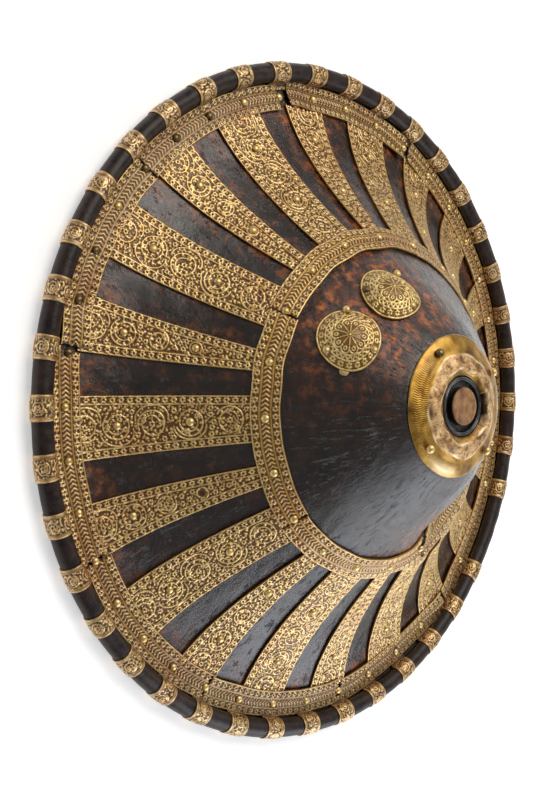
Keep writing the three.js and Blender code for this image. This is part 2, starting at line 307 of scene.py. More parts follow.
def weld(points, first):
    """Numbers for a grid of points, the same number for neighbours in a row that coincide."""
    rows, columns = points.shape[:2]
    own = np.arange(rows * columns).reshape(rows, columns)
    same = np.abs(np.diff(points, axis=1)).max(-1) < 1e-7
    again = np.concatenate([np.zeros((rows, 1), bool), same], 1)
    return np.maximum.accumulate(np.where(again, 0, own), axis=1) + first


def fan(tip, ring):
    """Triangles from a point to each step of a ring of points."""
    return np.stack([np.full(len(ring) - 1, tip), ring[1:], ring[:-1]], -1)


def grid_faces(index):
    """Faces of a grid of point numbers: quads, and triangles where two corners are one point."""
    corners = [index[:-1, :-1], index[:-1, 1:], index[1:, 1:], index[1:, :-1]]
    quads = np.stack([c.reshape(-1) for c in corners], -1)
    repeat = quads == np.roll(quads, -1, axis=1)
    count = repeat.sum(1)
    triangles = quads[count == 1][~repeat[count == 1]].reshape(-1, 3)
    return [quads[count == 0], triangles]


def cut_quads(quads, heights):
    """Triangles from quads, cut along the higher diagonal so that thin raised lines stay whole."""
    high = heights.reshape(-1)[quads]
    other = (high[:, 1] + high[:, 3] > high[:, 0] + high[:, 2])[:, None]
    first = np.where(other, quads[:, [1, 2, 3]], quads[:, [0, 1, 2]])
    second = np.where(other, quads[:, [1, 3, 0]], quads[:, [0, 2, 3]])
    return np.concatenate([first, second])


def skirt(low, low_at, top, flip):
    """Side faces from each stretch between kept low points up to the top points over it."""
    faces = []
    for i in range(len(low_at) - 1):
        face = [low[i], low[i + 1], *top[low_at[i]:low_at[i + 1] + 1][::-1]]
        face = [p for p, q in zip(face, face[1:] + face[:1]) if p != q]
        if len(face) > 2:
            faces.append(np.array([face[::-1] if flip else face]))
    return faces


def sheet(name, top, under, material, slot, every=8, **options):
    """A closed sheet from matching grids (rows, columns, 3) of its upper and lower face.

    The lower face keeps one point in every few, because nothing there is fine.
    """
    rows, columns = top.shape[:2]
    keep_rows = sorted({*range(0, rows, every), rows - 1})
    keep_columns = sorted({*range(0, columns, every), columns - 1})
    under = under[np.ix_(keep_rows, keep_columns)]
    upper = weld(top, 0)
    lower = weld(under, rows * columns)
    quads, triangles = grid_faces(upper)
    faces = [cut_quads(quads, options["fields"]["relief"]), triangles]
    smooth_count = sum(len(f) for f in faces)
    faces += [f[:, ::-1] for f in grid_faces(lower)]
    faces += skirt(lower[0], keep_columns, upper[0], False)
    faces += skirt(lower[-1], keep_columns, upper[-1], True)
    faces += skirt(lower[:, 0], keep_rows, upper[:, 0], True)
    faces += skirt(lower[:, -1], keep_rows, upper[:, -1], False)
    points = np.concatenate([top.reshape(-1, 3), under.reshape(-1, 3)])
    return make_piece(name, points, faces, material, slot, flat_from=smooth_count, **options)


def lathe(name, outline, columns, material, slot, bump=None, place=None, **options):
    """A closed body of revolution. outline is (n, 2) of radius and height, anticlockwise, either a
    closed loop or from the axis to the axis. bump(angle, points) moves the points off the axis, and
    then place(points) moves them all."""
    outline = np.asarray(outline, float)
    on_axis = outline[0, 0] < 1e-6
    ring = outline[1:-1] if on_axis else outline
    angle = np.arange(columns) * 360 / columns
    points = turned(angle[:, None], ring[None, :, 0], ring[None, :, 1])
    if bump is not None:
        points = bump(angle[:, None], points)
    index = np.arange(columns * len(ring)).reshape(columns, len(ring))
    index = np.concatenate([index, index[:1]])
    if not on_axis:
        index = np.concatenate([index, index[:, :1]], 1)
    faces = [f[:, ::-1] for f in grid_faces(index)]
    points = points.reshape(-1, 3)
    if on_axis:
        faces += [fan(len(points), index[:, 0]), fan(len(points) + 1, index[::-1, -1])]
        points = np.concatenate([points, [[0, 0, outline[0, 1]], [0, 0, outline[-1, 1]]]])
    if place is not None:
        points = place(points)
    return make_piece(name, points, faces, material, slot, **options)


def resample(outline, pitch):
    """The outline with its long stretches cut into steps of about the pitch."""
    outline = np.asarray(outline, float)
    out = [outline[:1]]
    for a, b in zip(outline[:-1], outline[1:]):
        count = max(1, round(float(np.hypot(*(b - a))) / pitch))
        out.append(lerp(a, b, (np.arange(count)[:, None] + 1) / count))
    return np.concatenate(out)


# --- Embossing ---

PEN = 0.22  # mm between points of a canvas
BUD_HEIGHT = 0.78


def raised(distance, half):
    """Section of a raised line: 1 along its middle, falling to 0 past its half width."""
    return 1 - smooth(half - 0.34, half + 0.24, distance)


def capsule(step, half):
    def shape(x, y):
        t = np.clip((x * step[0] + y * step[1]) / (step @ step + 1e-9), -0.5, 0.5)
        return raised(np.hypot(x - t * step[0], y - t * step[1]), half)
    return shape


def petals(turn, size):
    """A six-petalled flower around an open eye."""
    def shape(x, y):
        rho = np.hypot(x, y) / size
        rim = 1.88 + 0.42 * np.cos(6 * (np.arctan2(y, x) - turn))
        return smooth(0.72, 1.0, rho) * (1 - smooth(rim - 0.12, rim + 0.25, rho))
    return shape


class Canvas:
    """Relief over a flat sheet: 0 is the sunk ground and 1 is the top of the raised work."""

    def __init__(self, left, right, length, start=0.0):
        self.x = np.arange(left - 1, right + 1, PEN)
        self.y = np.arange(start - 1, length + 1, PEN)
        self.h = np.zeros((len(self.y), len(self.x)))

    def window(self, x, y, reach):
        rows = np.searchsorted(self.y, (y - reach, y + reach))
        columns = np.searchsorted(self.x, (x - reach, x + reach))
        return slice(*rows), slice(*columns)

    def stamp(self, x, y, reach, shape, height=1.0):
        rows, columns = self.window(x, y, reach)
        part = self.h[rows, columns]
        if part.size:
            drawn = height * shape(self.x[columns][None, :] - x, self.y[rows][:, None] - y)
            np.maximum(part, drawn, out=part)

    def stroke(self, points, half, end=None, height=1.0):
        """A raised line through the points, from one half width to another."""
        points = np.asarray(points, float)
        widths = np.linspace(half, half if end is None else end, len(points) - 1)
        for a, b, width in zip(points[:-1], points[1:], widths):
            middle = (a + b) / 2
            reach = float(np.hypot(*(b - a))) / 2 + width + 0.4
            self.stamp(middle[0], middle[1], reach, capsule(b - a, width), height)

    def flower(self, x, y, turn=0.0, size=1.0):
        self.stamp(x, y, 3 * size, petals(turn, size))

    def flower_row(self, x, start, end):
        count = max(1, round((end - start) / FLOWER_PITCH))
        for i in range(count):
            self.flower(x, lerp(start, end, (i + 0.5) / count), math.pi / 6)

    def bud(self, x, y, turn, hand, size=1.0):
        """A plump head with a tail that curls away from it."""
        bend = np.linspace(0.3, 1.6, 4) * hand
        steps = polar(1, turn + bend) * 0.62 * size
        tail = np.array([x, y]) + np.concatenate([[[0, 0]], np.cumsum(steps, axis=0)])
        self.stroke(tail, 0.75 * size, 0.22, BUD_HEIGHT)
        self.stamp(x, y, 1.8, lambda x, y: raised(np.hypot(x, y), 0.98 * size), BUD_HEIGHT)

    def line_across(self, distance, half, height=1.0):
        """A raised line wherever the distance, over the whole canvas, is 0."""
        np.maximum(self.h, height * raised(np.abs(distance), half), out=self.h)

    def press(self, x, y, radius):
        """Flatten a disc under a nail."""
        rows, columns = self.window(x, y, radius + 1)
        rho = np.hypot(self.x[columns][None, :] - x, self.y[rows][:, None] - y)
        self.h[rows, columns] *= smooth(radius - 0.4, radius + 0.4, rho)

    def is_clear(self, x, y, reach):
        part = self.h[self.window(x, y, reach)]
        return part.size > 0 and part.max() < 0.35

    def grime_and_shade(self):
        """1 in the narrow hollows of the work, where grime gathers and painted shade darkens the
        crevices, and 0 on open ground.
        """
        return np.clip((blur(self.h, 3) - self.h) * 2.7, 0, 1)

    def read(self, x, y):
        """Relief, and grime with painted shade, at these places."""
        across = np.clip((x - self.x[0]) / PEN, 0, len(self.x) - 1.001)
        down = np.clip((y - self.y[0]) / PEN, 0, len(self.y) - 1.001)
        j, i = across.astype(int), down.astype(int)
        u, v = across - j, down - i
        found = []
        for values in (self.h, self.grime_and_shade()):
            upper = lerp(values[i, j], values[i, j + 1], u)
            found.append(lerp(upper, lerp(values[i + 1, j], values[i + 1, j + 1], u), v))
        return found


def blur(values, reach):
    """Average over a box, twice along each axis."""
    span = 2 * reach + 1
    for axis in (0, 1, 0, 1):
        pad = [(reach + 1, reach) if a == axis else (0, 0) for a in (0, 1)]
        total = np.cumsum(np.pad(values, pad, mode="edge"), axis=axis)
        high = np.take(total, np.arange(span, total.shape[axis]), axis=axis)
        low = np.take(total, np.arange(0, total.shape[axis] - span), axis=axis)
        values = (high - low) / span
    return values


def scroll(canvas, random, x, y, radius, hand, start):
    """A vine that winds in from its ring, with buds along it."""
    swept = np.linspace(0, 3.1 * math.pi, round(radius * 7))
    rho = radius * (1 - 0.5 * (swept / swept[-1]) ** 1.3)
    theta = start + hand * swept
    canvas.stroke((x, y) + polar(rho, theta), 0.52, 0.44)
    buds = max(3, round(radius * 0.8))
    for i in range(buds):
        a = start + hand * (0.4 + 2 * math.pi * (i + random.uniform(-0.15, 0.15)) / buds)
        rho = radius - (1.95 if i % 2 else 2.1) - 0.9 * (i / buds)
        if rho > 2.2:
            canvas.bud(x + rho * math.cos(a), y + rho * math.sin(a), a + hand * 0.7, -hand, 0.95)


def seat_nail(lift, grime_and_shade, gap, depth, reach=4.0, dark=0.9):
    """Press the sheet in round a nail, and darken a ring round its foot: painted shadow of the
    head, with grime. gap is the distance from the nail.
    """
    lift = lift - depth * np.exp(-(gap / reach) ** 2)
    return lift, np.maximum(grime_and_shade, dark * raised(np.abs(gap - 2.9), 0.5))


def fill(canvas, random, tries, reach, inside, draw):
    """Put something wherever a random place turns out to be clear."""
    left, right, low, high = canvas.x[0], canvas.x[-1], canvas.y[0], canvas.y[-1]
    for x, y in random.uniform((left, low), (right, high), (tries, 2)):
        if inside(x, y, reach) and canvas.is_clear(x, y, reach):
            draw(x, y)


def fill_with_leaves(canvas, random, inside, flowers, tries):
    """Flowers in the widest places, then buds that lean on the nearest vine, then small beads."""
    down, across = np.gradient(blur(canvas.h, 7))
    place = iter(range(flowers))

    def draw_flower(x, y):
        if next(place, None) is not None:
            canvas.flower(x, y, random.uniform(0, 1), 0.92)

    def draw_bud(x, y):
        rows, columns = canvas.window(x, y, PEN)
        at = rows.start, columns.start
        turn = math.atan2(down[at], across[at]) + random.uniform(-0.7, 0.7)
        canvas.bud(x, y, turn, random.choice((-1, 1)), random.uniform(0.85, 1.05))

    fill(canvas, random, tries // 3, 1.85, inside, draw_flower)
    fill(canvas, random, tries, 1.2, inside, draw_bud)
    fill(canvas, random, tries, 0.72, inside, lambda x, y: canvas.stamp(
        x, y, 1.2, lambda x, y: raised(np.hypot(x, y), 0.62)))


# --- Materials ---


def new_material(name):
    material = bpy.data.materials.new(name)
    material.use_nodes = True
    return material, material.node_tree


def set_inputs(tree, node, inputs):
    """Link each input to the socket given for it, or set it. Colours come without an alpha."""
    for key, value in inputs.items():
        socket = node.inputs[key]
        if isinstance(value, bpy.types.NodeSocket):
            tree.links.new(value, socket)
        else:
            socket.default_value = (*value, 1) if socket.type == "RGBA" else value


def add_node(tree, kind, inputs, **settings):
    node = tree.nodes.new("ShaderNode" + kind)
    for key, value in settings.items():
        setattr(node, key, value)
    set_inputs(tree, node, inputs)
    return node


def object_place(tree):
    return add_node(tree, "TexCoord", {}).outputs["Object"]


def polar_place(tree, across_mm, along_mm):
    """A place in noise space whose features run along the radius, sized at a radius of 100 mm."""
    def vector(operation, inputs, output=0):
        return add_node(tree, "VectorMath", inputs, operation=operation).outputs[output]

    flat = vector("MULTIPLY", {0: object_place(tree), 1: (1, 1, 0)})
    wide = vector("SCALE", {0: vector("NORMALIZE", {0: flat}), "Scale": 100 / across_mm})
    deep = times(tree, vector("LENGTH", {0: flat}, 1), 1 / (along_mm * MM))
    return vector("ADD", {0: wide, 1: add_node(tree, "CombineXYZ", {"Z": deep}).outputs[0]})


def noise(tree, size_mm, detail=4.0, roughness=0.55, place=None):
    """Noise with features of about this size, in the model's own space unless a place is given."""
    return add_node(tree, "TexNoise", {
        "Vector": object_place(tree) if place is None else place,
        "Scale": 1 / (size_mm * MM) if place is None else 1.0,
        "Detail": detail,
        "Roughness": roughness,
    }).outputs["Fac"]


def ramp(tree, value, stops):
    """The value turned into the stops' colours. A stop's colour may be one number, for a grey."""
    node = add_node(tree, "ValToRGB", {"Fac": value})
    elements = node.color_ramp.elements
    while len(elements) < len(stops):
        elements.new(0.5)
    for element, (position, colour) in zip(elements, stops):
        element.position = position
        element.color = (*colour, 1) if isinstance(colour, tuple) else (colour,) * 3 + (1,)
    return node.outputs["Color"]


def mix(tree, factor, a, b, blend="MIX"):
    inputs = {0: factor, 6: a, 7: b}
    return add_node(tree, "Mix", inputs, data_type="RGBA", blend_type=blend).outputs[2]


def times(tree, a, b, plus=0.0):
    """a times b, plus something."""
    return add_node(tree, "Math", {0: a, 1: b, 2: plus}, operation="MULTIPLY_ADD").outputs[0]


def field(tree, name):
    return add_node(tree, "Attribute", {}, attribute_name=name).outputs["Fac"]


def finish(material, colour, rough, bump, values):
    """Set the shader: rough is a value and the two ends of its range, and bump is a height, a
    strength and a distance in mm. Everything in values is the same all over."""
    tree = material.node_tree
    ranged = add_node(tree, "MapRange", dict(zip(("Value", "To Min", "To Max"), rough)))
    height, strength, distance = bump
    bumped = add_node(tree, "Bump", {"Height": height, "Strength": strength,
                                     "Distance": distance * MM})
    set_inputs(tree, tree.nodes["Principled BSDF"], {
        "Base Color": colour,
        "Roughness": ranged.outputs[0],
        "Normal": bumped.outputs["Normal"],
        **values,
    })
    return material


WHITE = (1, 1, 1)
GOLD = (0.63, 0.375, 0.088)
PALE_GOLD = (1.0, 0.695, 0.29)
COPPER = (0.80, 0.52, 0.36)
GRIME_AND_SHADE = (0.052, 0.022, 0.007)


def brass_material(name, hollow, middle, high, copper):
    """Gilt sheet brass: grime and painted shade in the narrow hollows, paler on top from wear and
    painted highlight, tarnished in clouds.
    """
    material, tree = new_material(name)
    # Darker hollows and paler tops: partly grime and wear, partly painted shade and highlight of
    # the embossing.
    colour = ramp(tree, field(tree, "relief"), [(0.05, hollow), (0.38, middle), (0.70, high)])
    warm = ramp(tree, noise(tree, 34, 5, 0.6), [(0.48, 0.0), (0.64, 1.0)])
    colour = mix(tree, times(tree, warm, copper), colour, COPPER, "MULTIPLY")
    tint = ramp(tree, noise(tree, 11, 4, 0.6), [(0.3, (0.84, 0.80, 0.52)), (0.6, WHITE)])
    colour = mix(tree, 0.8, colour, tint, "MULTIPLY")
    grime = ramp(tree, noise(tree, 3, 5, 0.7), [(0.34, (0.42, 0.36, 0.30)), (0.52, WHITE)])
    colour = mix(tree, 0.65, colour, grime, "MULTIPLY")
    # Grime and painted shade in the narrow hollows, painted shadow rings round the nails.
    colour = mix(tree, times(tree, field(tree, "grime_and_shade"), 0.92), colour, GRIME_AND_SHADE)
    wear = times(tree, field(tree, "relief"), -0.55, noise(tree, 5, 4))
    return finish(material, colour, (wear, 0.46, 0.80), (noise(tree, 1.3, 3), 0.5, 0.22),
                  {"Metallic": 1.0, "Coat Weight": 1.0, "Coat Roughness": 0.28})


def hide_material():
    """Dark hide with a streaky grain, worn through to red-brown where the rub field says."""
    material, tree = new_material("worn_hide")
    streaks = noise(tree, 0, 6, 0.72, polar_place(tree, 1.9, 3.4))
    base = ramp(tree, noise(tree, 22, 6, 0.62), [
        (0.3, (0.004, 0.003, 0.002)), (0.62, (0.017, 0.011, 0.008)),
    ])
    rust = ramp(tree, noise(tree, 8, 6, 0.62), [
        (0.38, (0.045, 0.012, 0.004)), (0.52, (0.120, 0.033, 0.009)),
        (0.58, (0.30, 0.078, 0.013)), (0.72, (0.62, 0.195, 0.030)),
    ])
    patches = ramp(tree, noise(tree, 16, 7, 0.66), [(0.36, 0.0), (0.50, 1.0)])
    amount = times(tree, field(tree, "rub"), patches)
    pits = ramp(tree, noise(tree, 0, 5, 0.75, polar_place(tree, 3, 9)), [(0.32, 0.1), (0.43, 1.0)])
    colour = mix(tree, 1.0, mix(tree, amount, base, rust), pits, "MULTIPLY")
    dull = ramp(tree, noise(tree, 2.6, 6, 0.75), [(0.44, 0.0), (0.58, 0.55)])
    rough = times(tree, amount, 0.8, times(tree, streaks, 0.4, dull))
    grain = times(tree, pits, 0.9, times(tree, streaks, 1.0, noise(tree, 2.2, 6, 0.7)))
    return finish(material, colour, (rough, 0.05, 0.27), (grain, 1.0, 0.27),
                  {"Specular IOR Level": 0.66})


def roll_material():
    """Thin dark leather drawn over the rim, creased across."""
    material, tree = new_material("rim_leather")
    clouds = noise(tree, 8, 5, 0.65)
    colour = ramp(tree, clouds, [(0.35, (0.005, 0.003, 0.003)), (0.65, (0.040, 0.020, 0.014))])
    creases = noise(tree, 0, 5, 0.7, polar_place(tree, 1.2, 12))
    height = times(tree, creases, 1.0, clouds)
    return finish(material, colour, (clouds, 0.28, 0.52), (height, 0.6, 0.5),
                  {"Specular IOR Level": 0.32})


def plain_material(name, dark, light, roughness, metallic=0.0, size=4.0):
    """One clouded colour. size is that of the clouds, in mm."""
    material, tree = new_material(name)
    colour = ramp(tree, noise(tree, size, 6, 0.65), [(0.35, dark), (0.68, light)])
    rough = noise(tree, size * 0.6, 4), roughness * 0.8, roughness * 1.2
    return finish(material, colour, rough, (noise(tree, size * 0.3, 5), 0.35, 0.2),
                  {"Metallic": metallic})


def boss_material():
    """Hand-worked brass with fine engraved zigzags on the near flange, stains in its dents, painted
    highlight lines and a painted highlight patch, and painted shade in its hollows.
    """
    material, tree = new_material("boss_brass")
    colour = ramp(tree, noise(tree, 12, 5, 0.6), [
        (0.34, (0.20, 0.092, 0.016)), (0.50, (0.43, 0.235, 0.040)), (0.68, (0.66, 0.40, 0.095)),
    ])
    facets = ramp(tree, noise(tree, 8, 3, 0.5), [
        (0.34, (0.26, 0.145, 0.06)), (0.46, (0.60, 0.385, 0.18)), (0.64, (0.84, 0.59, 0.31)),
    ])
    ridge = field(tree, "relief")
    colour = mix(tree, ridge, colour, facets)
    marks = ramp(tree, noise(tree, 2.4, 4, 0.7), [(0.42, (0.42, 0.30, 0.21)), (0.50, WHITE)])
    colour = mix(tree, times(tree, ridge, 0.8), colour, marks, "MULTIPLY")
    # Pale cream where the painted highlight field is set.
    colour = mix(tree, field(tree, "painted_highlight"), colour, (1.0, 0.80, 0.50))
    phase = times(tree, field(tree, "hatch"), 2 * math.pi)
    wave = add_node(tree, "Math", {0: phase}, operation="SINE").outputs[0]
    lines = times(tree, wave, field(tree, "engraved"))
    cut = ramp(tree, lines, [(0.1, WHITE), (0.8, (0.30, 0.22, 0.12))])
    colour = mix(tree, 0.8, colour, cut, "MULTIPLY")
    # Painted shade in the pocket under the ridge and in the well by the collar.
    colour = mix(tree, field(tree, "grime_and_shade"), colour, (0.03, 0.015, 0.008))
    rough = times(tree, noise(tree, 6, 4), 0.4, ridge)
    height = times(tree, lines, -0.5, noise(tree, 2.0, 4, 0.6))
    return finish(material, colour, (rough, 0.38, 0.66), (height, 0.5, 0.3),
                  {"Metallic": 1.0, "Coat Weight": 0.25, "Coat Roughness": 0.18})


STRIP_BRASS = brass_material("strip_brass", (0.20, 0.092, 0.024), GOLD, PALE_GOLD, 0.35)
BAND_BRASS = brass_material("band_brass", (0.165, 0.078, 0.020), GOLD, PALE_GOLD, 0.6)
RING_BRASS = brass_material("inner_band_brass", (0.25, 0.120, 0.030), (0.74, 0.45, 0.11),
                            PALE_GOLD, 0.5)
CLIP_BRASS = brass_material("clip_brass", (0.12, 0.066, 0.026), (0.64, 0.41, 0.17),
                            (0.98, 0.68, 0.33), 0.5)
ROUNDEL_BRASS = brass_material("roundel_brass", (0.32, 0.175, 0.036), (1.0, 0.65, 0.16),
                               (1.0, 0.76, 0.34), 0.2)
NAIL_BRASS = plain_material("nail_brass", (0.60, 0.40, 0.13), (1.0, 0.77, 0.38), 0.44, 1.0, 3.0)
DULL_BRASS = plain_material("dull_nail_brass", (0.10, 0.065, 0.03), (0.32, 0.22, 0.10), 0.38,
                            1.0, 3.0)
BOSS_BRASS = boss_material()
HIDE = hide_material()
ROLL = roll_material()
BLACK = plain_material("black_collar", (0.004, 0.004, 0.005), (0.012, 0.011, 0.012), 0.3)
# A lighter grey for the collar's edge crests: painted highlight lines.
DARK_METAL = plain_material("collar_edge_highlight", (0.05, 0.05, 0.052), (0.22, 0.21, 0.20), 0.4, 1.0)
WOOD = plain_material("plug_wood", (0.17, 0.065, 0.018), (0.46, 0.25, 0.10), 0.6, size=7.0)
STRAP = plain_material("strap_leather", (0.05, 0.024, 0.012), (0.11, 0.055, 0.028), 0.6, size=6.0)

# --- Hide ---


def hide_outline():
    """Anticlockwise from the axis inside, out along the hollow, round the roll and back up."""
    radii, _ = slant_steps(BRIM[0], SHOULDER[0], 2.8)
    outside = np.stack([radii, hide_height(radii)], -1)
    inner_radii = radii[::4]
    tilt = hide_tilt(inner_radii)
    thick = np.minimum(HIDE_THICKNESS, 3.2 + (BRIM[0] - inner_radii) * 0.1)
    inside = np.stack([
        inner_radii - thick * np.sin(tilt),
        hide_height(inner_radii) - thick * np.cos(tilt),
    ], -1)[::-1]
    low = math.pi - math.asin((CLIP_R - inside[-1, 1]) / ROLL_R)
    high = math.pi - math.asin((BRIM[1] - CLIP_R) / ROLL_R)
    turn = np.linspace(-low, high, 26)
    roll = ROLL_CENTRE + polar(ROLL_R, turn)
    return np.concatenate([
        [[0, TIP_Z - 6], [TIP_R - 8, TIP_Z - 6], [TIP_R, TIP_Z - 6.5]],
        inside, roll, outside,
        resample([[SHOULDER[0], SHOULDER[1]], [TIP_R + 6, TIP_Z - 0.6], [TIP_R, TIP_Z]], 3)[1:],
        [[0, TIP_Z]],
    ])


def uneven_hide(angle, points):
    """Hand-worked hide: broad low waves and shallow dents, never above the true surface."""
    r = np.hypot(points[..., 0], points[..., 1])
    amount = smooth(249, 235, r) * smooth(TIP_R, 60, r)
    sunk = 0.22 * (waves(points, 26, 3) - 1.6) + 0.12 * (waves(points, 7, 4) - 1.6)
    out = points.copy()
    out[..., :2] *= (np.sin(hide_tilt(r)) / np.maximum(r, 1))[..., None]
    out[..., 2] = np.cos(hide_tilt(r))
    roll = smooth(244, 247, r) * 0.22 * waves(points, 9, 5)
    return points + out * (amount * sunk + roll - dent(angle, r))[..., None]


def rubbed(r, angle):
    """Where the dark finish has worn to red-brown: round the roundels, by the dent, at edges."""
    upper = 1.5 * near(angle, 303, 36) * smooth(118, 104, r) * smooth(48, 62, r)
    lower = 1.7 * near(angle, 118, 24) * smooth(72, 92, r) * smooth(122, 116, r)
    pitch = 360 / STRIP_COUNT
    from_strip = np.abs((angle - STRIP_START) / pitch - np.round((angle - STRIP_START) / pitch))
    top = 0.06 + 0.56 * near(angle, 290, 50)
    edges = 0.9 * top * smooth(0.5, 0.34, from_strip) * smooth(124, 130, r) * smooth(230, 224, r)
    ends = 0.4 * smooth(200, 220, r) * smooth(230, 224, r)
    return np.clip(0.03 + upper + lower + edges + ends, 0, 1)


hide = lathe("hide_shell", hide_outline(), 400, (HIDE, ROLL), "hide", bump=uneven_hide,
             replaces=["hide_body"])
_, radius, angle = points_of(hide)
add_field(hide.data, "rub", rubbed(radius, angle))
use_second_material(hide, lambda r, z: r > BRIM[0])

# --- Strips ---

# From a strip's edge to its two raised lines, to the flowers between them and to its scrollwork.
EDGE_LINE = 0.45
INNER_LINE = 5.75
FLOWERS_AT = 3.05
BORDER = 6.1
SCROLL_R = 9.7  # the largest scroll
NAILED = (1, 3)  # of the five scrolls along a strip, those with a nail at their centre


def draw_strip(canvas, half_at, length, centres, seed):
    random = np.random.default_rng(seed)
    half = half_at(canvas.y)[:, None]
    edge = half - np.abs(canvas.x)[None, :]
    canvas.line_across(edge - EDGE_LINE, 0.5)
    canvas.line_across(edge - INNER_LINE, 0.48)
    count = round(length / FLOWER_PITCH)
    for i in range(count):
        y = (i + 0.5) * length / count
        for side in (-1, 1):
            canvas.flower(side * (half_at(y) - FLOWERS_AT), y, math.pi / 6 * (i % 2))
    for number, (y, nailed) in enumerate(centres):
        room = half_at(y) - BORDER
        radius = min(SCROLL_R, room - 0.6)
        hand = 1 if number % 2 else -1
        if radius > 3.2:
            start = random.uniform(0, 2 * math.pi)
            scroll(canvas, random, 0, y, radius, hand, start)
            for a in (start + hand * 0.9, start + hand * 3.5) if radius > 6.5 else ():
                canvas.flower(0.66 * radius * math.cos(a), y + 0.66 * radius * math.sin(a), a, 0.92)
            if not nailed:
                canvas.flower(0, y, start)
        stem = min(room - 0.4, radius + 3.4)
        if stem - radius > 1.4:
            t = np.linspace(-1.35, 1.35, 26)
            reach = lerp(stem, radius + 0.4, (np.abs(t) / 1.35) ** 3)
            x = hand * np.minimum(reach * np.cos(t) + 0.4, room - 0.3)
            canvas.stroke(np.stack([x, y + (reach + 1.2) * np.sin(t)], -1), 0.46)
        if nailed:
            canvas.press(0, y, 3.0)

    def inside(x, y, reach):
        nails = min(math.hypot(x, y - at) - 2.4 for at, nailed in centres if nailed)
        return abs(x) < half_at(y) - BORDER - 0.7 * reach + 0.3 and nails > reach - 0.5

    fill_with_leaves(canvas, random, inside, 15, 2600)


def make_strip(number):
    width = NARROW_STRIP if number % 2 else WIDE_STRIP
    radii, along = slant_steps(*STRIP_R, STRIP_PITCH)
    widths = np.interp(radii, STRIP_R[::-1], width[::-1])

    def half_at(y):
        return np.interp(y, along, widths / 2)

    nail_step = (STRIP_NAIL_R[0] - STRIP_NAIL_R[1]) / 2
    centres = []
    for k in range(5):
        radius = STRIP_NAIL_R[0] - (k - 1) * nail_step
        centres.append((float(np.interp(-radius, -radii, along)), k in NAILED))
    canvas = Canvas(-width[0] / 2, width[0] / 2, along[-1])
    draw_strip(canvas, half_at, along[-1], centres, number + 11)

    columns = math.ceil(width[0] / 2 / STRIP_PITCH)
    x = np.arange(-columns, columns + 1)[None, :] * STRIP_PITCH
    half = widths[:, None] / 2
    x = np.where(np.abs(x) > half - 0.4 * STRIP_PITCH, np.sign(x) * half, x)
    x, y, r = np.broadcast_arrays(x, along[:, None], radii[:, None])
    angle = STRIP_ANGLES[number] + np.degrees(x / r)
    relief, grime_and_shade = canvas.read(x, y)
    lift = STRIP_TOP + 0.12 * waves(np.stack([x, y], -1), 16, number + 50)
    for k, (at, nailed) in enumerate(centres):
        if nailed:
            rho = np.hypot(x, y - at)
            lift, seated = seat_nail(lift, grime_and_shade, rho, 0.3)
            lost = number == LOST_STRIP_NAIL and k == NAILED[1]
            grime_and_shade = np.maximum(grime_and_shade, raised(rho, 1.4)) if lost else seated
    name = f"radial_strip_{number + 1:02d}"
    sheet(f"{name}_embossed", on_hide(angle, r, lift + RELIEF * relief), on_hide(angle, r, 0.05),
          STRIP_BRASS, "brass", replaces=[name], fields={"relief": relief, "grime_and_shade": grime_and_shade})


for number in range(STRIP_COUNT):
    make_strip(number)

# --- Bands ---

ARROW_PITCH = 3.1
BEND_REACH = 1100  # mm degrees, over which the bend of a band's end dies away
BULGE_FROM = 99.5  # the joint before the length of band that is dented inwards


def draw_band(canvas, half, length, nails):
    """Flowers, a smooth ridge, arrowheads, a smooth ridge and flowers, along y."""
    from_middle = np.abs(canvas.x)[None, :]
    canvas.line_across(from_middle - (half - EDGE_LINE), 0.5)
    for side in (-1, 1):
        canvas.flower_row(side * half * 0.68, 0, length)
    wing = half * 0.23
    for i in range(round(length / ARROW_PITCH)):
        y = (i + 0.3) * ARROW_PITCH
        canvas.stroke([[-wing, y + 1.9], [0, y], [wing, y + 1.8]], 0.42)
    canvas.line_across(from_middle - half * 0.375, 0.5, 0.5)
    for at in nails:
        canvas.press(0, at, 2.9)


def outer_darkening(angle):
    """How much darker the outer band is made at each angle."""
    darkening = 0.30 * (1 - near(angle, 10, 38) - near(angle, 195, 50))
    return darkening + 0.14 * near(angle, 78, 34) + 0.24 * near(angle, 297, 55)


# How much darker the inner band is made at each angle.
def inner_darkening(angle):
    return 0.22 * near(angle, 85, 36)


